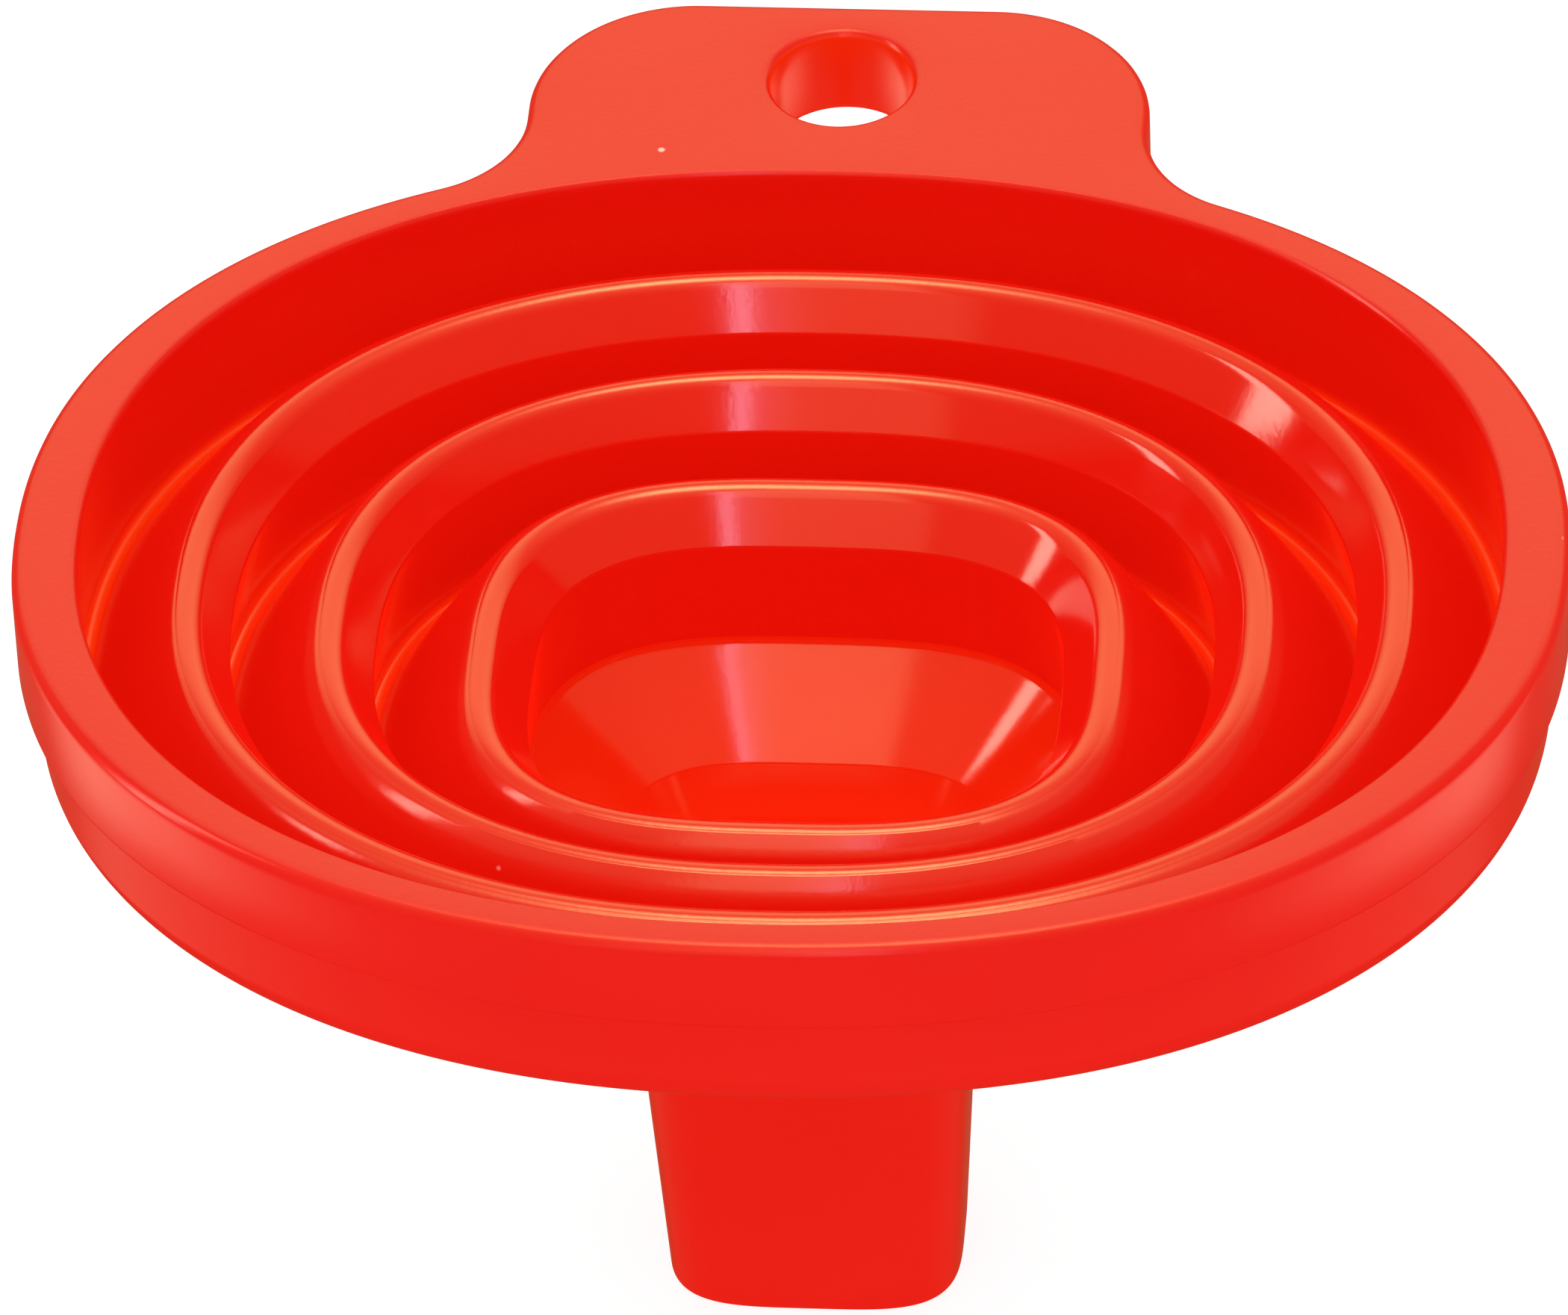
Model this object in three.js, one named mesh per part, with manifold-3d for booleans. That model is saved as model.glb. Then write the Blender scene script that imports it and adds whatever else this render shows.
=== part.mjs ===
// Collapsible oval funnel in moulded silicone, in its folded state.
// Millimetres, +Z up. The origin is the centre of the spout's open end.
//
// Every wall is an oval hoop: a closed section in half-width and height, swept round an oval
// whose proportions change gently from the spout out to the rim. Heights are below the rim top.
import * as THREE from 'three';
import { mergeVertices } from 'three/addons/utils/BufferGeometryUtils.js';
import Module from 'manifold-3d';

const wasm = await Module();
wasm.setup();

// Overall sizes
const HEIGHT = 58.2;           // spout end to rim top, folded
const RIM_A = 47.8;            // half-width of the rim's outer edge
const RIM_INNER_A = 43.7;      // half-width of the rim's inner edge
const FLANGE_T = 6.4;          // thickness of the rim flange and hanging tab
const SEGMENTS = 64;           // steps round each oval
const ARC_STEP = 1;            // largest turn between points on a rounded corner, in radians
const SHORT_ARC = 0.3;         // a corner with a shorter arc than this is one point
const GAP = 0.3;               // clearance between neighbouring pieces
const WELD = 1e-4;             // points nearer than this are joined before a boolean cut

// The oval at a given half-width: half-depth and corner exponent, between these stations
const OVAL_STATIONS = [
  { a: 9, b: 7.4, n: 3.9 },
  { a: 17.3, b: 14.3, n: 3 },
  { a: 19.4, b: 16.2, n: 2.9 },
  { a: 28.6, b: 23.3, n: 2.3 },
  { a: 37.4, b: 30.25, n: 2.23 },
  { a: RIM_INNER_A, b: 35.25, n: 2.2 },
  { a: RIM_A, b: 37.8, n: 2.17 },
];

// Rounded corners of the sections are { a, z, r }: the centre's half-width and height, and the
// radius, which is positive on outside corners and negative on inside ones.
// Folds, outermost first: the crest, the crease inside it, and the valley outside its web with
// the rounded foot under that valley
const FOLDS = [
  {
    crest: { a: 37.32, z: -5.28, r: 1.25 },
    crease: { a: 35.1, z: -7.3, r: 0.4 },
    valley: { a: 43.8, z: -10, r: -0.5 },
    foot: { a: 44.6, z: -11.2, r: 2.1 },
  },
  {
    crest: { a: 28.6, z: -7.68, r: 1.25 },
    crease: { a: 26.6, z: -9.6, r: 0.4 },
    valley: { a: 35.7, z: -14.5, r: -0.5 },
    foot: { a: 35.8, z: -14.6, r: 1.9 },
  },
  {
    crest: { a: 19.37, z: -10.66, r: 1.25 },
    crease: { a: 17.35, z: -12.8, r: 0.4 },
    valley: { a: 26.8, z: -17.5, r: -0.5 },
    foot: { a: 26.9, z: -17.6, r: 1.9 },
  },
];
const ARMPIT = { a: 0.7, z: -1.3, r: -0.35 };  // where a web leaves a crest's underside, from the crest
const BEND = { a: 2.4, z: -0.9, r: -1 };       // on a wall's outer face, from the crease
const WEB_MARGIN = 0.1;        // height of a web's straight left on the pieces beside it

// Rim and outer wall
const LIP_R = 0.5;
const LIP = { a: RIM_INNER_A + LIP_R, z: -LIP_R, r: LIP_R };  // the rim's inner edge
const RIM_TOP_R = 1.2;
const RIM_UNDER_R = 0.35;
const WALL_A = 47;             // outer half-width just under the flange

// Cup, floor and spout
const CUP_CUT_Z = -19.6;       // where ring 3 hands over to the sloping floor
const FLOOR_CORNER = { a: 16.5, z: -20.67, r: -0.8 };
const MOUTH = { a: 11.9, z: -27.3, r: 0.6 };
const BORE_TOP = { a: 13.4, z: -31.9, r: 4 };
const SPOUT_ROOT = { a: 13.4, z: -31.9, r: -2.5 };
const CONE_SHOULDER = { a: 17.3, z: -21.9, r: 1.6 };
const SPOUT_CUT_Z = -32.6;     // where the floor piece hands over to the spout
const SPOUT_END_A = 9.35;
const SPOUT_END_T = 1.5;
const TIP_INNER_R = 0.3;
const TIP_OUTER_R = 0.4;
const TIP_INSIDE = { a: SPOUT_END_A - SPOUT_END_T + TIP_INNER_R, z: TIP_INNER_R - HEIGHT, r: TIP_INNER_R };
const TIP_OUTSIDE = { a: SPOUT_END_A - TIP_OUTER_R, z: TIP_OUTER_R - HEIGHT, r: TIP_OUTER_R };

// Hanging tab and its hole
const TAB_HALF_W = 19.75;
const TAB_END_Y = 52.4;
const TAB_CORNER_R = 10.3;
const TAB_FILLET_R = 8;        // where the tab's side runs into the rim
const TAB_ROOT = 4;            // how far the blank runs in under the rim before it is cut
const TAB_EDGE = 0.6;          // edge break on the tab and hole
const TAB_CURVE_STEPS = 10;
const HOLE_Y = 44.8;
const HOLE_R = 4.55;
const HOLE_STEPS = 32;

const SATIN = { color: 0xe8402c, metalness: 0, roughness: 0.55 };
const GLOSS = { color: 0xe0190c, metalness: 0, roughness: 0.25 };

const funnel = new THREE.Group();
funnel.position.z = HEIGHT;    // the sections below are measured down from the rim top

function addPiece(name, geometry, finish) {
  geometry.computeVertexNormals();
  const mesh = new THREE.Mesh(geometry, new THREE.MeshStandardMaterial(finish));
  mesh.name = name;
  funnel.add(mesh);
}

// Half-depth and corner exponent of the oval with half-width a
function ovalAt(a) {
  const stations = OVAL_STATIONS;
  let k = 1;
  while (k < stations.length - 1 && a > stations[k].a) k += 1;
  const lower = stations[k - 1];
  const upper = stations[k];
  const t = (a - lower.a) / (upper.a - lower.a);
  return { b: THREE.MathUtils.lerp(lower.b, upper.b, t), n: THREE.MathUtils.lerp(lower.n, upper.n, t) };
}

function ovalPoint(a, angle) {
  const { b, n } = ovalAt(a);
  const c = Math.cos(angle);
  const s = Math.sin(angle);
  const x = a * Math.sign(c) * Math.abs(c) ** (2 / n);
  const y = b * Math.sign(s) * Math.abs(s) ** (2 / n);
  return [x, y];
}

// A closed section of [half-width, height] pairs, counter-clockwise, swept once round the oval
function ovalHoop(section) {
  const positions = [];
  const indices = [];
  const rows = section.length;
  for (const [a, z] of section) {
    for (let j = 0; j < SEGMENTS; j += 1) {
      const [x, y] = ovalPoint(a, (2 * Math.PI * j) / SEGMENTS);
      positions.push(x, y, z);
    }
  }
  for (let i = 0; i < rows; i += 1) {
    const next = (i + 1) % rows;
    for (let j = 0; j < SEGMENTS; j += 1) {
      const k = (j + 1) % SEGMENTS;
      const [p, q] = [i * SEGMENTS + j, i * SEGMENTS + k];
      const [r, s] = [next * SEGMENTS + k, next * SEGMENTS + j];
      indices.push(p, q, r, p, r, s);
    }
  }
  const geometry = new THREE.BufferGeometry();
  geometry.setAttribute('position', new THREE.Float32BufferAttribute(positions, 3));
  geometry.setIndex(indices);
  return geometry;
}

// An oval plug of half-width a, between two heights
function ovalPlug(a, bottom, top) {
  const shape = new THREE.Shape();
  for (let j = 0; j < SEGMENTS; j += 1) {
    const [x, y] = ovalPoint(a, (2 * Math.PI * j) / SEGMENTS);
    if (j === 0) shape.moveTo(x, y);
    else shape.lineTo(x, y);
  }
  const geometry = new THREE.ExtrudeGeometry(shape, { depth: top - bottom, bevelEnabled: false });
  return geometry.translate(0, 0, bottom);
}

function toSolid(geometry) {
  const bare = geometry.clone();
  bare.deleteAttribute('normal');
  bare.deleteAttribute('uv');
  const merged = mergeVertices(bare, WELD);
  const vertProperties = new Float32Array(merged.attributes.position.array);
  const triVerts = new Uint32Array(merged.index.array);
  return new wasm.Manifold(new wasm.Mesh({ numProp: 3, vertProperties, triVerts }));
}

function toGeometry(solid) {
  const mesh = solid.getMesh();
  const geometry = new THREE.BufferGeometry();
  geometry.setAttribute('position', new THREE.BufferAttribute(mesh.vertProperties, 3));
  geometry.setIndex(new THREE.BufferAttribute(mesh.triVerts, 1));
  return geometry;
}

// Where the section's straight leaves one corner and meets the next, with the solid on its left
function tangentLine(first, second) {
  const span = Math.hypot(second.a - first.a, second.z - first.z);
  const along = new THREE.Vector2((second.a - first.a) / span, (second.z - first.z) / span);
  const lean = (second.r - first.r) / span;
  const square = Math.sqrt(1 - lean * lean);
  const left = new THREE.Vector2(lean * along.x - square * along.y, lean * along.y + square * along.x);
  return [
    [first.a - first.r * left.x, first.z - first.r * left.y],
    [second.a - second.r * left.x, second.z - second.r * left.y],
  ];
}

function atHeight([start, end], z) {
  const t = (z - start[1]) / (end[1] - start[1]);
  return [THREE.MathUtils.lerp(start[0], end[0], t), z];
}

// Points round a corner from one tangent point to another, both included
function arc(corner, from, to) {
  const start = Math.atan2(from[1] - corner.z, from[0] - corner.a);
  let turn = Math.atan2(to[1] - corner.z, to[0] - corner.a) - start;
  turn -= 2 * Math.PI * Math.round(turn / (2 * Math.PI));
  const radius = Math.abs(corner.r);
  const pointAt = (angle) => [corner.a + radius * Math.cos(angle), corner.z + radius * Math.sin(angle)];
  if (Math.abs(turn) * radius < SHORT_ARC) return [pointAt(start + turn / 2)];
  const steps = Math.ceil(Math.abs(turn) / ARC_STEP);
  return Array.from({ length: steps + 1 }, (unused, k) => pointAt(start + (turn * k) / steps));
}

// A section from the point start, round the corners, to the point end
function belt(start, corners, end) {
  const stops = [{ a: start[0], z: start[1], r: 0 }, ...corners, { a: end[0], z: end[1], r: 0 }];
  const points = [start];
  for (let i = 1; i < stops.length - 1; i += 1) {
    const entry = tangentLine(stops[i - 1], stops[i])[1];
    const leave = tangentLine(stops[i], stops[i + 1])[0];
    points.push(...arc(stops[i], entry, leave));
  }
  return [...points, end];
}

function relativeTo(corner, shift) {
  return { a: corner.a + shift.a, z: corner.z + shift.z, r: shift.r };
}

// A fold's web: its upper and lower faces and the heights between which it bends
function webOf(fold) {
  const armpit = relativeTo(fold.crest, ARMPIT);
  const upper = tangentLine(fold.valley, fold.crest);
  const lower = tangentLine(armpit, fold.foot);
  const low = Math.max(upper[0][1], lower[1][1]) + WEB_MARGIN;
  const top = Math.min(upper[1][1], lower[0][1]) - WEB_MARGIN;
  return { armpit, upper, lower, low, top };
}

// The wall inside the rim, at a height
function innerWallAt(z) {
  return atHeight(tangentLine(LIP, FOLDS[0].valley), z);
}

function buildFlange() {
  const under = { a: RIM_A - RIM_UNDER_R, z: RIM_UNDER_R - FLANGE_T, r: RIM_UNDER_R };
  const top = { a: RIM_A - RIM_TOP_R, z: -RIM_TOP_R, r: RIM_TOP_R };
  const inner = innerWallAt(-FLANGE_T);
  const section = belt(inner, [under, top, LIP], inner);
  addPiece('rim_flange', ovalHoop(section.slice(0, -1)), SATIN);
}

// Centre of the concave round that is tangent to the rim and to the tab's side, and the point
// where it meets the rim, found by halving the range of angles it can be at
function tabFilletCentre() {
  const angleError = 1e-6;
  const angleStep = 1e-4;
  let low = Math.PI / 6;
  let high = Math.PI / 2;
  let centre;
  let foot;
  while (high - low > angleError) {
    const angle = (low + high) / 2;
    foot = new THREE.Vector2(...ovalPoint(RIM_A, angle));
    const ahead = new THREE.Vector2(...ovalPoint(RIM_A, angle + angleStep)).sub(foot).normalize();
    centre = foot.clone().addScaledVector(new THREE.Vector2(ahead.y, -ahead.x), TAB_FILLET_R);
    if (centre.x > TAB_HALF_W + TAB_FILLET_R) low = angle;
    else high = angle;
  }
  return { centre, foot };
}

function buildTab() {
  const { centre, foot } = tabFilletCentre();
  const touch = Math.atan2(foot.y - centre.y, foot.x - centre.x);
  const cornerX = TAB_HALF_W - TAB_CORNER_R;
  const cornerY = TAB_END_Y - TAB_CORNER_R;
  const blank = new THREE.Shape();
  blank.moveTo(0, 0);
  blank.lineTo(foot.x, foot.y - TAB_ROOT);
  blank.absarc(centre.x, centre.y, TAB_FILLET_R, touch, -Math.PI, true);
  blank.absarc(cornerX, cornerY, TAB_CORNER_R, 0, Math.PI / 2);
  blank.absarc(-cornerX, cornerY, TAB_CORNER_R, Math.PI / 2, Math.PI);
  blank.absarc(-centre.x, centre.y, TAB_FILLET_R, 0, Math.PI - touch, true);
  blank.lineTo(-foot.x, foot.y - TAB_ROOT);
  const plate = new THREE.ExtrudeGeometry(blank, {
    depth: FLANGE_T - 2 * TAB_EDGE,
    curveSegments: TAB_CURVE_STEPS,
    bevelSegments: 1,
    bevelSize: TAB_EDGE,
    bevelThickness: TAB_EDGE,
    bevelOffset: -TAB_EDGE,
  });
  plate.translate(0, 0, TAB_EDGE - FLANGE_T);

  const past = 1;              // the cutters run this far past both faces
  const cutterProfile = [
    [0, past],
    [HOLE_R + TAB_EDGE + past, past],
    [HOLE_R, -TAB_EDGE],
    [HOLE_R, TAB_EDGE - FLANGE_T],
    [HOLE_R + TAB_EDGE + past, -FLANGE_T - past],
    [0, -FLANGE_T - past],
  ].map(([r, z]) => new THREE.Vector2(r, z)).reverse();
  const cutter = new THREE.LatheGeometry(cutterProfile, HOLE_STEPS);
  cutter.rotateX(Math.PI / 2);
  cutter.translate(0, HOLE_Y, 0);

  const rim = ovalPlug(RIM_A + GAP, -FLANGE_T - past, past);
  const tab = toSolid(plate).subtract(toSolid(rim)).subtract(toSolid(cutter));
  addPiece('hanging_tab', toGeometry(tab), SATIN);
}

function buildOuterWall() {
  const { valley, foot } = FOLDS[0];
  const web = webOf(FOLDS[0]);
  const top = -FLANGE_T - GAP;
  const inside = belt(innerWallAt(top), [valley], atHeight(web.upper, web.low));
  const outside = belt(atHeight(web.lower, web.low), [foot], [WALL_A, top]);
  addPiece('outer_wall', ovalHoop([...inside, ...outside]), SATIN);
}

// A folding web: thin, conical, and the hinge between two walls
function buildWeb(i) {
  const web = webOf(FOLDS[i]);
  const section = [
    atHeight(web.upper, web.top - GAP),
    atHeight(web.lower, web.top - GAP),
    atHeight(web.lower, web.low + GAP),
    atHeight(web.upper, web.low + GAP),
  ];
  addPiece(`fold_web_${i + 1}`, ovalHoop(section), GLOSS);
}

// A ring: rounded crest, conical band down to a crease, and a wall down to the next fold's
// valley or, for the innermost ring, to the sloping floor
function buildRing(i) {
  const fold = FOLDS[i];
  const web = webOf(fold);
  const bend = relativeTo(fold.crease, BEND);
  const crestEdge = atHeight(web.upper, web.top);
  const armpitEdge = atHeight(web.lower, web.top);
  const section = [];
  if (i < FOLDS.length - 1) {
    const next = FOLDS[i + 1];
    const nextWeb = webOf(next);
    section.push(
      ...belt(crestEdge, [fold.crest, fold.crease, next.valley], atHeight(nextWeb.upper, nextWeb.low)),
      ...belt(atHeight(nextWeb.lower, nextWeb.low), [next.foot, bend, web.armpit], armpitEdge),
    );
  } else {
    const inner = atHeight(tangentLine(fold.crease, FLOOR_CORNER), CUP_CUT_Z);
    const outer = atHeight(tangentLine(CONE_SHOULDER, bend), CUP_CUT_Z);
    section.push(
      ...belt(crestEdge, [fold.crest, fold.crease], inner),
      ...belt(outer, [bend, web.armpit], armpitEdge),
    );
  }
  addPiece(`ring_${i + 1}`, ovalHoop(section), GLOSS);
}

// The sloping floor inside the last ring, turning down into the spout
function buildThroat() {
  const { crease } = FOLDS[FOLDS.length - 1];
  const top = CUP_CUT_Z - GAP;
  const inner = atHeight(tangentLine(crease, FLOOR_CORNER), top);
  const outer = atHeight(tangentLine(CONE_SHOULDER, relativeTo(crease, BEND)), top);
  const section = [
    ...belt(inner, [FLOOR_CORNER, MOUTH, BORE_TOP], atHeight(spoutInside(), SPOUT_CUT_Z)),
    ...belt(atHeight(spoutOutside(), SPOUT_CUT_Z), [SPOUT_ROOT, CONE_SHOULDER], outer),
  ];
  addPiece('throat_cone', ovalHoop(section), GLOSS);
}

function spoutInside() {
  return tangentLine(BORE_TOP, TIP_INSIDE);
}

function spoutOutside() {
  return tangentLine(TIP_OUTSIDE, SPOUT_ROOT);
}

function buildSpout() {
  const top = SPOUT_CUT_Z - GAP;
  const corners = [TIP_INSIDE, TIP_OUTSIDE];
  const section = belt(atHeight(spoutInside(), top), corners, atHeight(spoutOutside(), top));
  addPiece('spout', ovalHoop(section), SATIN);
}

buildFlange();
buildTab();
buildOuterWall();
FOLDS.forEach((fold, i) => {
  buildWeb(i);
  buildRing(i);
});
buildThroat();
buildSpout();

export default funnel;
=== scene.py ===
# Looks of a folding oval silicone funnel, built round the imported frame.
# The funnel is one moulding, so each body gets one smooth closed skin, with three thin webs
# between them. Sections are worked out in millimetres, with heights counted from the rim's top.
import math

import bmesh
import bpy
import numpy as np
from mathutils import Matrix, Vector


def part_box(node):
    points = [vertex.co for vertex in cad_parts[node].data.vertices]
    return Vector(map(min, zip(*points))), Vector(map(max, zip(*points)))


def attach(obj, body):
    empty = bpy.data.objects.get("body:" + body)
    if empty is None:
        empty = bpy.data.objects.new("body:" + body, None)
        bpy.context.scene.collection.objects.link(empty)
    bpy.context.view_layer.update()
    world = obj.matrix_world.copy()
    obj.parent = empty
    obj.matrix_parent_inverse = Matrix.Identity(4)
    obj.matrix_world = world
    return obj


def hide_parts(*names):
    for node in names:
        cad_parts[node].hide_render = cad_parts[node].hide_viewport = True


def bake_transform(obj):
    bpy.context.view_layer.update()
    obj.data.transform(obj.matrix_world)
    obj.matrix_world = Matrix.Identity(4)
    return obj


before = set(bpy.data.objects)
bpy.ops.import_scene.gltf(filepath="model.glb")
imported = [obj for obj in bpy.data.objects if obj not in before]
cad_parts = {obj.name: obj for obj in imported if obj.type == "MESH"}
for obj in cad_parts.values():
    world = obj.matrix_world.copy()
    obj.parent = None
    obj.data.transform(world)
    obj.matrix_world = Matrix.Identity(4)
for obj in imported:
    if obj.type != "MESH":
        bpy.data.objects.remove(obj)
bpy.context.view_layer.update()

MM = 0.001
RIM_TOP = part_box("rim_flange")[1].z / MM      # height of the rim's top above the spout's end
RIM_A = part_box("rim_flange")[1].x / MM        # half-width of the rim
TAB_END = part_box("hanging_tab")[1].y / MM
FLANGE_T = RIM_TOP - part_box("rim_flange")[0].z / MM

# The oval at a given half-width: half-width, half-depth, corner exponent
OVALS = np.array([
    (7.0, 5.8, 4.1), (9.0, 7.4, 3.9), (17.3, 14.3, 3.0), (19.4, 16.2, 2.9), (26.6, 21.6, 2.4),
    (28.6, 23.3, 2.3), (35.5, 28.6, 2.24), (37.4, 30.25, 2.23), (43.7, 35.25, 2.2), (47.8, 37.8, 2.17),
])

# Rounded corners of the folds' sections, outermost fold first: the centre (a, z) of each
CREST = [(37.32, -5.28), (28.6, -7.68), (19.37, -10.66)]
CREASE = [(35.1, -7.3), (26.3, -9.6), (16.85, -12.75)]
VALLEY = [(43.8, -10.0), (35.7, -14.5), (26.8, -17.5)]
FOOT = [(44.6, -11.2), (35.8, -14.6), (26.9, -17.6)]
CREST_R = 1.25
SHOULDER_R = 5.0                              # outside the crest's top, where the web begins
SHOULDER_FROM = math.radians(58)              # elevation of the normal where it takes over
CREASE_R = 0.4
VALLEY_R = 0.5
RIM_FOOT_R = 2.1
FOOT_R = 1.9
ARMPIT_R = 0.35                               # where a web leaves the underside of its crest
ARMPIT = (0.7, -1.3)                          # from the crest's centre
BEND_R = 1.0                                  # on the wall's outer face, behind the crease
BEND = (2.4, -0.9)                            # from the crease's centre
WEB_INSET = 0.1                               # from a web's round ends to its bending part

# The cup and spout's rounded corners: centre (a, z), and radius, negative for an inside corner
FLOOR_EDGE = (16.5, -20.67, -0.8)             # cup's wall into its floor
MOUTH = (11.9, -27.3, 0.6)                    # floor into the spout's mouth
THROAT = (13.4, -31.9)                        # centre of the bend from the mouth into the spout
THROAT_R = 4.0                                # on the inside
THROAT_UNDER_R = 2.5                          # on the outside
CONE_EDGE = (17.3, -21.9, 1.6)                # cone's underside into the cup's outer wall
SPOUT_END_A = 9.35
SPOUT_END_T = 1.5
SPOUT_TIP_R = 0.4
BORE_TIP_R = 0.3

# Rim, tab and hole
RIM_INNER_A = 43.7
RIM_WALL_A = 47.0
TOP_R = 0.9
ROOT_R = 0.25                                 # where the wall meets the flange's underside
LIP_R = 0.5
UNDER_R = 0.35
TAB_HALF_W = 19.75
TAB_CORNER_R = 10.3
TAB_FILLET_R = 8.0
HOLE_Y = 44.8
HOLE_R = 4.55
HOLE_EDGE_R = 0.6

# Fineness of the meshes
STEPS = 360                                   # round each oval
ARC_STEP = math.radians(5)                    # turn between points on a rounded corner
MIN_ARC_STEPS = 3
NO_TURN = 1e-3                                # radians, below which a corner is left straight
EDGE_POINTS = 7                               # from the flat top to the side of a rounded edge
FLAT_INSET = 0.1                              # how near its ends a straight has points, to stay flat
SHORT_STRAIGHT = 0.4                          # up to this length it has none
WEB_SPACING = 0.3
HOLE_STEPS = 96
OUTLINE_STEPS = 760
OUTLINE_SAMPLES = {"rim": 600, "fillet": 60, "corner": 80}
HALVINGS = 50                                 # to find where the tab's fillet leaves the rim
FILLET_BETWEEN = (math.radians(35), math.radians(80))
SHARP_EDGE = math.radians(40)

# Finish of the surfaces, from 0, polished, to 1, the mould's fine grain on the flat top, whose paler
# colour is painted sheen
WEB_FINISH = 0.2
SIDE_FINISH = 0.1
TOP_FACE_Z = -0.05                            # the flat top is what lies above this
CREST_POLISHED = 1.0                          # polished from this far inside the crest's centre
CREST_FADE = 1.2                              # over this width

# Painted glow, warming the colour where light comes through thin silicone, from 0 to 1
HOLE_GLOW = 0.35
FLOOR_GLOW = 0.25
BORE_GLOW = [(27, 0.3), (35, 0.8)]            # (depth, warmth) down the bore
VALLEY_GLOW_REACH = 0.8                       # above and below a valley's bottom
VALLEY_GLOW_POWER = 1.5

# (depth, half-width) through the middle of the silicone, which tells the cup's faces apart
BORE_WALL = [(26, 13), (31, 10.2), (RIM_TOP, 8.4)]
SPOUT_WALL = [(31, 10.2), (RIM_TOP, 8.6)]
FLOOR_SLAB = [(20, 18.6), (29, 11.6)]
BORE_A = 10.0                                 # half-width of an oval with the spout's shape
FLOOR_A = 15.0                                # half-width of an oval with the floor's shape
BORE_Z = -26.5                                # the bore's top
FLOOR_Z = (-28, -20.6)
SPOUT_Z = -31                                 # the spout's top

# Colours of the silicone: painted glow of light through thin places, dust, and a painted glow for light
# scattered inside
PAINTED_THROUGH_LIGHT = (0.9, 0.07, 0.002, 1)
DUST = (0.95, 0.55, 0.45, 1)
PAINTED_SCATTER_GLOW = (1, 0.012, 0.002, 1)

# Camera
CAMERA_ELEVATION = math.radians(41.0)
CAMERA_AZIMUTH = math.radians(5.9)
CAMERA_ROLL = math.radians(-2.52)
CAMERA_DISTANCE = 0.9
CAMERA_AIM = (-0.34 * MM, -7.45 * MM)         # from the rim's centre, to the right and up in the view
CAMERA_CLIP = (0.01, 20)
SENSOR = 36.0
LENS = SENSOR * 9.3676                        # a field of view 6.1 degrees wide

# Floor
FLOOR_HALF = 3.0
FLOOR_GAP = 0.3 * MM                          # under the spout's end

# The room that the gloss mirrors, as brightness against the direction's z, or for BEHIND and
# LOW_SIDES against its y. BEHIND times BEHIND_HEIGHT is a bright wall, and LOW_SIDES times
# LOW_HEIGHT a glow low on both sides.
CEILING = [(-1, 0.02), (-0.3, 0.03), (0, 0.08), (0.27, 0.16), (0.57, 0.22), (0.8, 0.4), (0.93, 0.7),
           (0.97, 2.0), (1, 6.5)]
BEHIND = [(-1, 0), (-0.2, 0.0), (0.44, 0.25), (0.72, 1), (1, 1)]
BEHIND_HEIGHT = [(-1, 0), (0.1, 0), (0.5, 1), (1, 1)]
LOW_SIDES = [(-1, 0), (-0.55, 0.02), (-0.1, 1.0), (0.25, 0.9), (0.5, 0.03), (1, 0.03)]
LOW_HEIGHT = [(-1, 0), (-0.71, 0), (-0.65, 1), (-0.35, 1), (-0.1, 0), (1, 0)]
ROOM_COLOUR = (1.0, 1.1, 0.46)
LOW_COLOUR = (0.95, 0.88, 0.62)
ROOM_STRENGTH = 2.6

# Windows: azimuth from and to, elevation from and to, softness in degrees, and light
WINDOWS = [
    (2.2, 4.2, 6, 62, 0.6, (3.4, 3.4, 4.6)),
    (-2.5, 2.2, 6, 62, 1.0, (0.4, 0.35, 0.4)),
    (-20, -1, 6, 30, 3.0, (0.3, 0.3, 0.15)),
    (-16, 1, 28, 66, 3.0, (0.7, 0.75, 0.4)),
    (-86, -74, -3, 46, 1.5, (4.4, 4.0, 3.2)),
]

# Even light on everything that isn't a mirror image, as brightness against height
FILL = [(-1, 0.95), (0, 1.0), (0.6, 1.0), (1, 1.3)]
FILL_STRENGTH = 0.95


# ---------------------------------------------------------------- plan and section geometry

def smooth_table(x, xs, ys):
    """Monotone cubic through the points xs, ys."""
    x = np.clip(x, xs[0], xs[-1])
    h = np.diff(xs)
    slope = np.diff(ys) / h
    tangent = np.concatenate([[slope[0]], (slope[:-1] + slope[1:]) / 2, [slope[-1]]])
    for i, s in enumerate(slope):
        limit = 3 * abs(s)
        tangent[i] = np.clip(tangent[i], -limit, limit)
        tangent[i + 1] = np.clip(tangent[i + 1], -limit, limit)
    i = min(int(np.searchsorted(xs, x, side="right")) - 1, len(h) - 1)
    t = (x - xs[i]) / h[i]
    return (ys[i] * (1 + 2 * t) * (1 - t) ** 2 + tangent[i] * h[i] * t * (1 - t) ** 2
            + ys[i + 1] * t * t * (3 - 2 * t) + tangent[i + 1] * h[i] * t * t * (t - 1))


def oval_shape(a):
    """Half-depth and corner exponent of the oval of half-width a."""
    return smooth_table(a, OVALS[:, 0], OVALS[:, 1]), smooth_table(a, OVALS[:, 0], OVALS[:, 2])


def oval_point(a, angle):
    """Points at these angles on the oval of half-width a."""
    b, n = oval_shape(a)
    c, s = np.cos(angle), np.sin(angle)
    reach = (np.abs(c) ** n + np.abs(s) ** n) ** (-1 / n)
    return np.stack([a * c * reach, b * s * reach], axis=-1)


def oval_reach(co, a):
    """Half-width of the oval through each point, taking its shape from the oval at a."""
    b, n = oval_shape(a)
    return a * (np.abs(co[:, 0] / a) ** n + np.abs(co[:, 1] / b) ** n) ** (1 / n)


def turns(steps):
    """Angles evenly round a circle."""
    return np.arange(steps) * 2 * math.pi / steps


def unit(v):
    return v / np.linalg.norm(v)


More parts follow.
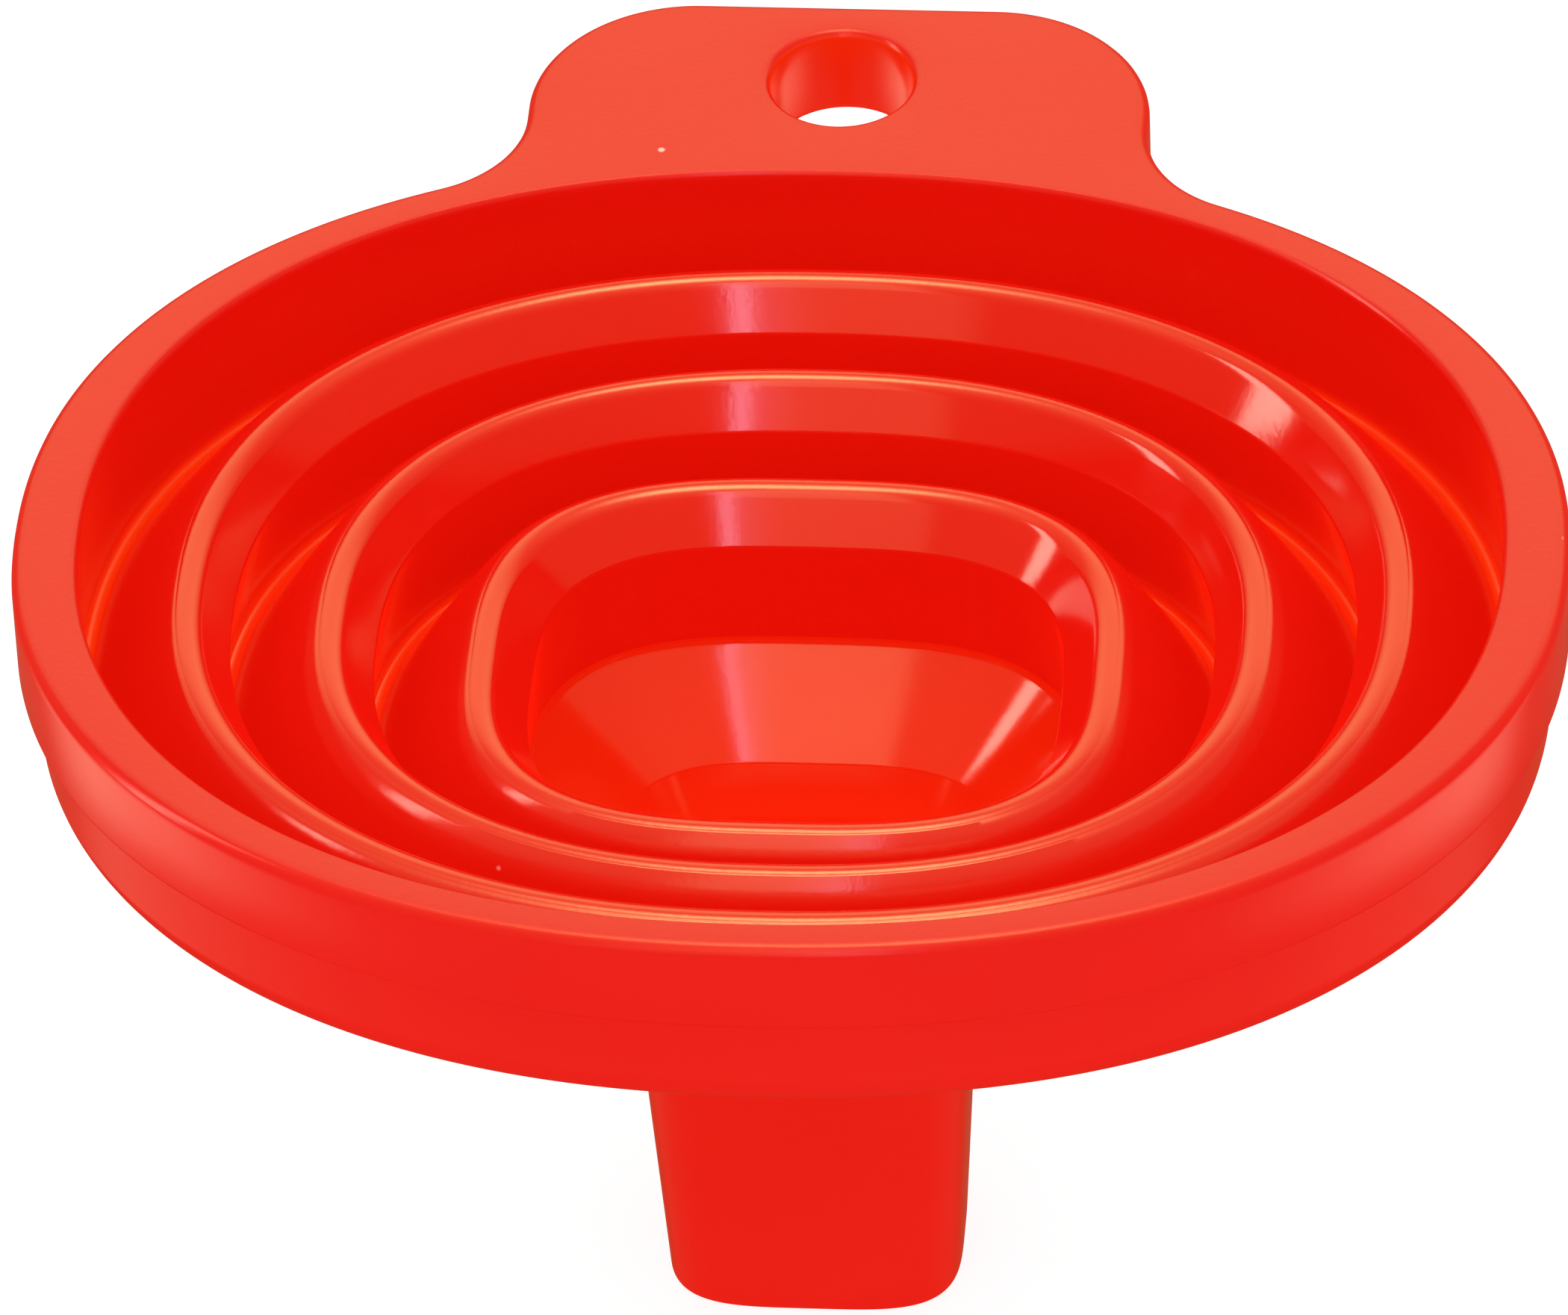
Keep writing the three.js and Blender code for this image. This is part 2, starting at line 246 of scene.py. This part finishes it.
def tangent_line(first, second):
    """Where the section's straight leaves one round corner and meets the next. A corner is
    (a, z, radius), with the solid on the left: positive outside corners, negative inside ones."""
    c1, c2 = np.array(first[:2]), np.array(second[:2])
    gap = np.linalg.norm(c2 - c1)
    along = (c2 - c1) / gap
    lean = (second[2] - first[2]) / gap
    left = lean * along + math.sqrt(max(0, 1 - lean * lean)) * np.array([-along[1], along[0]])
    return c1 - first[2] * left, c2 - second[2] * left


def at_height(line, z):
    start, end = line
    t = (z - start[1]) / (end[1] - start[1])
    return start + (end - start) * t


def straight(start, end, spacing=None):
    """Points inside a straight: one near each end, so that the flat stays flat, or evenly."""
    length = np.linalg.norm(end - start)
    if spacing:
        fractions = np.linspace(0, 1, max(2, math.ceil(length / spacing)) + 1)[1:-1]
    elif length > SHORT_STRAIGHT:
        fractions = [FLAT_INSET / length, 1 - FLAT_INSET / length]
    else:
        fractions = []
    return [start + (end - start) * f for f in fractions]


def arc(corner, start, end):
    """Points round a corner, from start to end, both of them included."""
    centre, radius = np.array(corner[:2]), abs(corner[2])
    p, q = start - centre, end - centre
    turn = math.acos(np.clip(p @ q / (radius * radius), -1, 1))
    if turn < NO_TURN:
        return [start, end]
    steps = max(MIN_ARC_STEPS, math.ceil(turn / ARC_STEP))
    return [centre + (p * math.sin((1 - t) * turn) + q * math.sin(t * turn)) / math.sin(turn)
            for t in np.linspace(0, 1, steps + 1)]


def belt(corners, start, end):
    """The section from the point start, round the corners, to the point end. Start and end
    lie on the straights just before the first corner and just after the last."""
    points = [start]
    for i, corner in enumerate(corners):
        before = corners[i - 1] if i else (*start, 0)
        after = corners[i + 1] if i + 1 < len(corners) else (*end, 0)
        entry = tangent_line(before, corner)[1]
        leave = tangent_line(corner, after)[0]
        points += straight(points[-1], entry) + arc(corner, entry, leave)
    return points + straight(points[-1], end) + [end]


class Fold:
    """One fold: the web's upper and lower faces, and the heights its bending part lies between."""

    def __init__(self, i):
        self.crest = (*CREST[i], CREST_R)
        self.crease = (*CREASE[i], CREASE_R)
        self.valley = (*VALLEY[i], -VALLEY_R)
        self.foot = (*FOOT[i], RIM_FOOT_R if i == 0 else FOOT_R)
        self.armpit = (CREST[i][0] + ARMPIT[0], CREST[i][1] + ARMPIT[1], -ARMPIT_R)
        self.bend = (CREASE[i][0] + BEND[0], CREASE[i][1] + BEND[1], -BEND_R)
        drop = SHOULDER_R - CREST_R
        self.shoulder = (CREST[i][0] - drop * math.cos(SHOULDER_FROM),
                         CREST[i][1] - drop * math.sin(SHOULDER_FROM), SHOULDER_R)
        self.upper = tangent_line(self.valley, self.shoulder)
        self.lower = tangent_line(self.armpit, self.foot)
        self.low = max(self.upper[0][1], self.lower[1][1]) + WEB_INSET
        self.top = min(self.upper[1][1], self.lower[0][1]) - WEB_INSET


FOLDS = [Fold(i) for i in range(len(CREST))]


# ---------------------------------------------------------------- mesh building

class Skin:
    """A closed mesh built from loops of points."""

    def __init__(self):
        self.bm = bmesh.new()

    def loop(self, xy, z):
        """A level loop through the points xy."""
        return [self.bm.verts.new((x * MM, y * MM, (z + RIM_TOP) * MM)) for x, y in xy]

    def stack(self, loops, closed=False):
        """Joins each loop to the next with a band of faces."""
        for first, second in zip(loops, loops[1:] + loops[:1] if closed else loops[1:]):
            count = len(first)
            for j in range(count):
                k = (j + 1) % count
                self.bm.faces.new((first[j], first[k], second[k], second[j]))

    def fill(self, *loops):
        """A flat face inside the first loop, with the others as holes."""
        edges = []
        for verts in loops:
            for v, w in zip(verts, verts[1:] + verts[:1]):
                edges.append(self.bm.edges.get((v, w)) or self.bm.edges.new((v, w)))
        bmesh.ops.triangle_fill(self.bm, edges=edges, use_beauty=True)

    def hoop(self, section, closed=True):
        """Sweeps a section of (a, z) points round the oval."""
        loops = [self.loop(oval_point(a, turns(STEPS)), z) for a, z in section]
        self.stack(loops, closed)
        return loops

    def finish(self, name, material):
        bmesh.ops.recalc_face_normals(self.bm, faces=self.bm.faces)
        if self.bm.calc_volume(signed=True) < 0:
            bmesh.ops.reverse_faces(self.bm, faces=self.bm.faces)
        open_edges = [e for e in self.bm.edges if not e.is_manifold]
        if open_edges:
            raise RuntimeError(f"{name} has {len(open_edges)} open edges")
        mesh = bpy.data.meshes.new(name)
        self.bm.to_mesh(mesh)
        self.bm.free()
        mesh.polygons.foreach_set("use_smooth", [True] * len(mesh.polygons))
        mesh.set_sharp_from_angle(angle=SHARP_EDGE)
        mesh.materials.append(material)
        piece = bpy.data.objects.new(name, mesh)
        bpy.context.scene.collection.objects.link(piece)
        return piece


def paint(piece, name, value_at):
    """Stores value_at(points), the points in millimetres from the rim's top, as an attribute."""
    mesh = piece.data
    co = np.empty(len(mesh.vertices) * 3)
    mesh.vertices.foreach_get("co", co)
    co = co.reshape(-1, 3) / MM
    co[:, 2] -= RIM_TOP
    attribute = mesh.attributes.new(name, "FLOAT", "POINT")
    attribute.data.foreach_set("value", value_at(co).astype(np.float32))


# ---------------------------------------------------------------- materials

def set_inputs(node, inputs):
    """Gives each input a constant, or links another node's output to it."""
    for key, value in inputs.items():
        if isinstance(value, bpy.types.NodeSocket):
            node.id_data.links.new(value, node.inputs[key])
        else:
            node.inputs[key].default_value = value


def add_node(tree, kind, inputs, **settings):
    node = tree.nodes.new(kind)
    for key, value in settings.items():
        setattr(node, key, value)
    set_inputs(node, inputs)
    return node


def maths(tree, operation, *values):
    node = add_node(tree, "ShaderNodeMath", dict(enumerate(values)), operation=operation)
    return node.outputs["Value"]


def silicone(name, gloss, satin, base, pale, painted_glow, shine):
    """Red silicone. The finish attribute runs from 0, polished, to 1, the mould's fine grain.
    The thin attribute paints the glow of light coming through into the colour."""
    material = bpy.data.materials.new(name)
    material.use_nodes = True
    tree = material.node_tree

    def noise(scale, detail):
        inputs = {"Vector": place, "Scale": scale, "Detail": detail}
        return add_node(tree, "ShaderNodeTexNoise", inputs).outputs["Fac"]

    def ramp(value, to_min=0.0, to_max=1.0, from_min=0.0, from_max=1.0):
        inputs = {"Value": value, "From Min": from_min, "From Max": from_max,
                  "To Min": to_min, "To Max": to_max}
        return add_node(tree, "ShaderNodeMapRange", inputs).outputs["Result"]

    def mix(factor, first, second):
        inputs = {"Factor": factor, 6: first, 7: second}
        return add_node(tree, "ShaderNodeMix", inputs, data_type="RGBA").outputs[2]

    place = add_node(tree, "ShaderNodeTexCoord", {}).outputs["Object"]
    finish = add_node(tree, "ShaderNodeAttribute", {}, attribute_name="finish").outputs["Fac"]
    # thin: the painted glow of light coming through thin silicone
    thin = add_node(tree, "ShaderNodeAttribute", {}, attribute_name="thin").outputs["Fac"]

    # Colour: slow mottling, a paler colour with the grainy finish that is painted sheen, and a painted
    # glow where light comes through thin places
    red, green, blue = base
    mottled = mix(noise(scale=60.0, detail=4.0), (red * 0.93, green, blue, 1),
                  (red * 1.04, green * 1.3, blue * 1.3, 1))
    # The paler colour on the grainy faces is painted sheen
    with_painted_sheen = mix(finish, mottled, (*pale, 1))
    # Painted glow where light comes through thin silicone
    with_through_light = mix(thin, with_painted_sheen, PAINTED_THROUGH_LIGHT)

    # Dust: a pale speck at the heart of one cell in ten, none on the polished faces
    cells = add_node(tree, "ShaderNodeTexVoronoi", {"Vector": place, "Scale": 190.0}, feature="F1")
    speck = ramp(cells.outputs["Distance"], from_min=0.055, from_max=0.03)
    lot = add_node(tree, "ShaderNodeSeparateColor", {"Color": cells.outputs["Color"]})
    rare = maths(tree, "GREATER_THAN", lot.outputs["Red"], 0.9)
    clinging = ramp(finish, from_min=SIDE_FINISH, from_max=WEB_FINISH)
    dust = maths(tree, "MULTIPLY", speck, maths(tree, "MULTIPLY", clinging, rare))

    # Roughness broken up a little, and fine mould grain, stronger on the satin faces
    smear = noise(scale=25.0, detail=3.0)
    bump = add_node(tree, "ShaderNodeBump", {
        "Strength": ramp(finish, to_min=0.03, to_max=0.22),
        "Distance": 0.12 * MM,
        "Height": noise(scale=2600.0, detail=2.0),
    })

    set_inputs(tree.nodes["Principled BSDF"], {
        "Base Color": mix(dust, with_through_light, DUST),
        "Roughness": maths(tree, "MULTIPLY_ADD", smear, 0.08, ramp(finish, to_min=gloss, to_max=satin)),
        "Specular IOR Level": ramp(finish, to_min=shine, to_max=0.5),
        "Normal": bump.outputs["Normal"],
        "IOR": 1.42,
        # Painted glow all over, standing in for light scattered inside the silicone, which lifts its
        # shaded parts
        "Emission Color": PAINTED_SCATTER_GLOW,
        "Emission Strength": painted_glow,
    })
    return material


# Both glow with painted light scattered inside; the gloss one, on the rings, webs and cup, glows more
# strongly to lift their shaded hollows
SATIN = silicone("silicone_satin", gloss=0.16, satin=0.40, base=(0.67, 0.004, 0.002),
                 pale=(0.58, 0.007, 0.003), painted_glow=0.175, shine=0.28)
GLOSS = silicone("silicone_gloss", gloss=0.08, satin=0.40, base=(0.61, 0.0045, 0.002),
                 pale=(0.56, 0.007, 0.003), painted_glow=0.24, shine=0.5)


# ---------------------------------------------------------------- finish and warmth

def at_depth(co, table):
    """The table's value at each point's depth below the rim's top."""
    depths, values = zip(*table)
    return np.interp(-co[:, 2], depths, values)


def painted_valley_glow_at(co, i):
    """Painted glow: 1 along the bottom of the valley outside web i, where light comes through the thin
    hinge, fading out above and below it.
    """
    bottom = FOLDS[i].valley[1] - VALLEY_R
    return np.clip(1 - np.abs(co[:, 2] - bottom) / VALLEY_GLOW_REACH, 0, 1) ** VALLEY_GLOW_POWER


def crest_finish(co, i):
    """Satin outside the crest and over its top, polished inside it."""
    a = CREST[i][0]
    outside = np.clip((oval_reach(co, a) - (a - CREST_POLISHED)) / CREST_FADE, 0, 1)
    return WEB_FINISH * outside * (co[:, 2] > CREASE[i][1])


# Painted glow of light coming through the hole's wall and the first valley
def rim_glow(co):
    in_hole = np.hypot(co[:, 0], co[:, 1] - HOLE_Y) < HOLE_R + HOLE_EDGE_R
    return np.where(in_hole, HOLE_GLOW * (co[:, 2] < -HOLE_EDGE_R / 2), painted_valley_glow_at(co, 0))


def cup_finish(co):
    outside = oval_reach(co, BORE_A) > at_depth(co, SPOUT_WALL)
    return np.where(co[:, 2] < SPOUT_Z, np.where(outside, SIDE_FINISH, 0.0), crest_finish(co, 2))


# Painted glow of light coming through the bore and the cup's floor
def cup_glow(co):
    in_bore = (co[:, 2] < BORE_Z) & (oval_reach(co, BORE_A) < at_depth(co, BORE_WALL))
    level = (co[:, 2] > FLOOR_Z[0]) & (co[:, 2] < FLOOR_Z[1])
    on_floor = level & (oval_reach(co, FLOOR_A) < at_depth(co, FLOOR_SLAB))
    return np.where(in_bore, at_depth(co, BORE_GLOW), np.where(on_floor, FLOOR_GLOW, 0))


# ---------------------------------------------------------------- the pieces

def rim_point(angle):
    return oval_point(RIM_A, np.array([angle]))[0]


def rim_normal(angle):
    step = 1e-4
    along = unit(rim_point(angle + step) - rim_point(angle - step))
    return np.array([along[1], -along[0]])


def plan_arc(centre, radius, angles):
    return [centre + radius * np.array([math.cos(t), math.sin(t)]) for t in angles]


def rim_outline():
    """The rim and tab's outline at full size, evenly spaced, with its outward normals."""
    low, high = FILLET_BETWEEN
    for _ in range(HALVINGS):
        angle = (low + high) / 2
        centre = rim_point(angle) + rim_normal(angle) * TAB_FILLET_R
        if centre[0] > TAB_HALF_W + TAB_FILLET_R:
            low = angle
        else:
            high = angle
    towards = -rim_normal(angle)
    start = math.atan2(towards[1], towards[0]) % (2 * math.pi)
    corner = np.array([TAB_HALF_W - TAB_CORNER_R, TAB_END - TAB_CORNER_R])
    right = [rim_point(t) for t in np.linspace(-math.pi / 2, angle, OUTLINE_SAMPLES["rim"])]
    right += plan_arc(centre, TAB_FILLET_R, np.linspace(start, math.pi, OUTLINE_SAMPLES["fillet"])[1:])
    right += plan_arc(corner, TAB_CORNER_R, np.linspace(0, math.pi / 2, OUTLINE_SAMPLES["corner"]))
    right.append(np.array([0, TAB_END]))
    left = [np.array([-p[0], p[1]]) for p in reversed(right[1:-1])]
    path = np.array(right + left + [right[0]])
    run = np.concatenate([[0], np.cumsum(np.linalg.norm(np.diff(path, axis=0), axis=1))])
    even = np.linspace(0, run[-1], OUTLINE_STEPS + 1)[:-1]
    points = np.stack([np.interp(even, run, path[:, k]) for k in (0, 1)], axis=-1)
    tangent = np.roll(points, -1, axis=0) - np.roll(points, 1, axis=0)
    normal = np.stack([tangent[:, 1], -tangent[:, 0]], axis=-1)
    return points, normal / np.linalg.norm(normal, axis=1, keepdims=True)


def edge_offsets(radius):
    """Offsets (inset, drop) round an edge of this radius, from the flat top to the side."""
    angles = np.linspace(0, math.pi / 2, EDGE_POINTS)
    return [(radius * (1 - math.sin(t)), radius * (1 - math.cos(t))) for t in angles]


def flange_levels(top_r, under_r):
    """(inset, z) down an edge of the flange, rounded at its top and at its underside."""
    levels = [(inset, -drop) for inset, drop in edge_offsets(top_r)]
    return levels + [(inset, drop - FLANGE_T) for inset, drop in reversed(edge_offsets(under_r))]


def build_rim():
    """The flange, the tab and the wall under them, down to the first web."""
    fold = FOLDS[0]
    skin = Skin()
    points, normal = rim_outline()
    side = [skin.loop(points - normal * inset, z) for inset, z in flange_levels(TOP_R, UNDER_R)]
    skin.stack(side)

    middle = np.array([0, HOLE_Y])
    bore = [skin.loop(plan_arc(middle, HOLE_R + inset, turns(HOLE_STEPS)), z)
            for inset, z in flange_levels(HOLE_EDGE_R, HOLE_EDGE_R)]
    skin.stack(bore)

    lip = (RIM_INNER_A + LIP_R, -LIP_R, LIP_R)
    root = (RIM_WALL_A + ROOT_R, -FLANGE_T - ROOT_R, -ROOT_R)
    section = belt([lip, fold.valley], np.array([lip[0], 0.0]), at_height(fold.upper, fold.low))
    section += belt([fold.foot, root], at_height(fold.lower, fold.low),
                    np.array([root[0], -FLANGE_T]))
    inner = skin.hoop(section, closed=False)
    skin.fill(side[0], bore[0], inner[0])
    skin.fill(side[-1], bore[-1], inner[-1])
    piece = skin.finish("rim_and_tab", SATIN)
    paint(piece, "finish", lambda co: np.where(co[:, 2] > TOP_FACE_Z, 1.0, SIDE_FINISH))
    paint(piece, "thin", rim_glow)
    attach(piece, "rim_body")
    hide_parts("rim_flange", "hanging_tab", "outer_wall")


def build_web(i):
    """The thin web of fold i, between two bodies."""
    fold = FOLDS[i]
    upper_top, lower_top = at_height(fold.upper, fold.top), at_height(fold.lower, fold.top)
    upper_low, lower_low = at_height(fold.upper, fold.low), at_height(fold.lower, fold.low)
    section = [upper_top]
    for start, end in ((upper_top, lower_top), (lower_top, lower_low), (lower_low, upper_low),
                       (upper_low, upper_top)):
        section += straight(start, end, WEB_SPACING) + [end]
    skin = Skin()
    skin.hoop(section[:-1])
    piece = skin.finish(f"rolling_web_{i + 1}", GLOSS)
    paint(piece, "finish", lambda co: np.full(len(co), WEB_FINISH))
    paint(piece, "thin", lambda co: painted_valley_glow_at(co, i))
    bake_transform(piece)
    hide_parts(f"fold_web_{i + 1}")


def build_ring(i):
    """Ring i: its crest, crease and wall, down to the foot of the next fold."""
    fold, following = FOLDS[i], FOLDS[i + 1]
    section = belt([fold.shoulder, fold.crest, fold.crease, following.valley],
                   at_height(fold.upper, fold.top), at_height(following.upper, following.low))
    section += belt([following.foot, fold.bend, fold.armpit],
                    at_height(following.lower, following.low), at_height(fold.lower, fold.top))
    skin = Skin()
    skin.hoop(section)
    piece = skin.finish(f"folding_ring_{i + 1}", GLOSS)
    paint(piece, "finish", lambda co: crest_finish(co, i))
    paint(piece, "thin", lambda co: painted_valley_glow_at(co, i + 1))
    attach(piece, f"ring_{i + 1}_body")
    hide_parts(f"ring_{i + 1}")


def build_cup():
    """The inner cup, its sloping floor and the spout."""
    fold = FOLDS[-1]
    bore_end = SPOUT_END_A - SPOUT_END_T
    section = belt([
        fold.shoulder,
        fold.crest,
        fold.crease,
        FLOOR_EDGE,
        MOUTH,
        (*THROAT, THROAT_R),
        (bore_end + BORE_TIP_R, -RIM_TOP + BORE_TIP_R, BORE_TIP_R),
        (SPOUT_END_A - SPOUT_TIP_R, -RIM_TOP + SPOUT_TIP_R, SPOUT_TIP_R),
        (*THROAT, -THROAT_UNDER_R),
        CONE_EDGE,
        fold.bend,
        fold.armpit,
    ], at_height(fold.upper, fold.top), at_height(fold.lower, fold.top))
    skin = Skin()
    skin.hoop(section)
    piece = skin.finish("cup_and_spout", GLOSS)
    paint(piece, "finish", cup_finish)
    paint(piece, "thin", cup_glow)
    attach(piece, "spout_body")
    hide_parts("ring_3", "throat_cone", "spout")


# ---------------------------------------------------------------- camera, floor and light

def add_camera():
    e, a = CAMERA_ELEVATION, CAMERA_AZIMUTH
    back = Vector((math.sin(a) * math.cos(e), -math.cos(a) * math.cos(e), math.sin(e)))
    right = Vector((math.cos(a), math.sin(a), 0))
    up = back.cross(right)
    roll_right = right * math.cos(CAMERA_ROLL) + up * math.sin(CAMERA_ROLL)
    roll_up = up * math.cos(CAMERA_ROLL) - right * math.sin(CAMERA_ROLL)
    target = Vector((0, 0, RIM_TOP * MM)) + roll_right * CAMERA_AIM[0] + roll_up * CAMERA_AIM[1]
    data = bpy.data.cameras.new("view")
    data.sensor_width = SENSOR
    data.lens = LENS
    data.clip_start, data.clip_end = CAMERA_CLIP
    camera = bpy.data.objects.new("view", data)
    bpy.context.scene.collection.objects.link(camera)
    rotation = np.array([roll_right, roll_up, back]).T
    camera.rotation_euler = Matrix(rotation.tolist()).to_euler()
    camera.location = target + back * CAMERA_DISTANCE
    bpy.context.scene.camera = camera


def add_floor():
    """A plain pale floor, which the gloss doesn't mirror."""
    mesh = bpy.data.meshes.new("floor")
    r = FLOOR_HALF
    mesh.from_pydata([(-r, -r, 0), (r, -r, 0), (r, r, 0), (-r, r, 0)], [], [(0, 1, 2, 3)])
    floor = bpy.data.objects.new("floor", mesh)
    floor.location.z = -FLOOR_GAP
    bpy.context.scene.collection.objects.link(floor)
    material = bpy.data.materials.new("floor_white")
    material.use_nodes = True
    set_inputs(material.node_tree.nodes["Principled BSDF"], {
        "Base Color": (0.3, 0.3, 0.3, 1),
        "Roughness": 0.9,
        "Specular IOR Level": 0.1,
        "Emission Color": (1, 1, 1, 1),
        "Emission Strength": 0.85,
    })
    material.cycles.emission_sampling = "NONE"
    mesh.materials.append(material)
    floor.visible_glossy = False


def add_world():
    """Even soft light, and a room for the gloss to mirror: bright above and behind, dim low in
    front, with windows in front and at the left."""
    world = bpy.data.worlds.new("studio")
    world.cycles.sampling_method = "NONE"
    bpy.context.scene.world = world
    world.use_nodes = True
    tree = world.node_tree

    def curve(value, stops):
        """Linear through the stops (value, brightness), which run from -1 to 1."""
        inputs = {"Value": value, "From Min": -1, "From Max": 1}
        span = add_node(tree, "ShaderNodeMapRange", inputs).outputs["Result"]
        node = add_node(tree, "ShaderNodeFloatCurve", {"Value": span})
        node.mapping.use_clip = False
        points = node.mapping.curves[0].points
        spots = [((v + 1) / 2, level) for v, level in stops]
        points[0].location, points[1].location = spots[0], spots[-1]
        for spot in spots[1:-1]:
            points.new(*spot)
        for point in points:
            point.handle_type = "VECTOR"
        node.mapping.update()
        return node.outputs["Value"]

    def tinted(light, level):
        inputs = {0: light, "Scale": level}
        return add_node(tree, "ShaderNodeVectorMath", inputs, operation="SCALE").outputs["Vector"]

    def add(first, second):
        inputs = {0: first, 1: second}
        return add_node(tree, "ShaderNodeVectorMath", inputs, operation="ADD").outputs["Vector"]

    def step(value, edge, soft):
        inputs = {"Value": value, "From Min": edge - soft, "From Max": edge + soft}
        node = add_node(tree, "ShaderNodeMapRange", inputs, interpolation_type="SMOOTHSTEP")
        return node.outputs["Result"]

    def between(value, low, high, soft):
        below_high = maths(tree, "SUBTRACT", 1.0, step(value, high, soft))
        return maths(tree, "MULTIPLY", step(value, low, soft), below_high)

    def degrees(operation, *values):
        return maths(tree, "MULTIPLY", maths(tree, operation, *values), 180 / math.pi)

    place = add_node(tree, "ShaderNodeTexCoord", {}).outputs["Generated"]
    x, y, z = add_node(tree, "ShaderNodeSeparateXYZ", {"Vector": place}).outputs
    high_behind = maths(tree, "MULTIPLY", curve(y, BEHIND), curve(z, BEHIND_HEIGHT))
    low_sides = maths(tree, "MULTIPLY", curve(y, LOW_SIDES), curve(z, LOW_HEIGHT))
    room = add(tinted(ROOM_COLOUR, maths(tree, "MAXIMUM", curve(z, CEILING), high_behind)),
               tinted(LOW_COLOUR, low_sides))
    azimuth = degrees("ARCTAN2", x, maths(tree, "MULTIPLY", y, -1.0))
    elevation = degrees("ARCSINE", z)
    for west, east, low, high, soft, light in WINDOWS:
        pane = maths(tree, "MULTIPLY", between(azimuth, west, east, soft),
                     between(elevation, low, high, soft))
        room = add(room, tinted(light, pane))

    mirrored = tree.nodes["Background"]
    set_inputs(mirrored, {"Color": room, "Strength": ROOM_STRENGTH})
    even = add_node(tree, "ShaderNodeBackground", {"Color": curve(z, FILL), "Strength": FILL_STRENGTH})
    path = add_node(tree, "ShaderNodeLightPath", {})
    mix = add_node(tree, "ShaderNodeMixShader", {
        0: path.outputs["Is Glossy Ray"],
        1: even.outputs["Background"],
        2: mirrored.outputs["Background"],
    })
    set_inputs(tree.nodes["World Output"], {"Surface": mix.outputs["Shader"]})


build_rim()
for fold_number in range(len(FOLDS)):
    build_web(fold_number)
for ring_number in range(len(FOLDS) - 1):
    build_ring(ring_number)
build_cup()
add_camera()
add_floor()
add_world()
bpy.context.scene.view_settings.view_transform = "Standard"
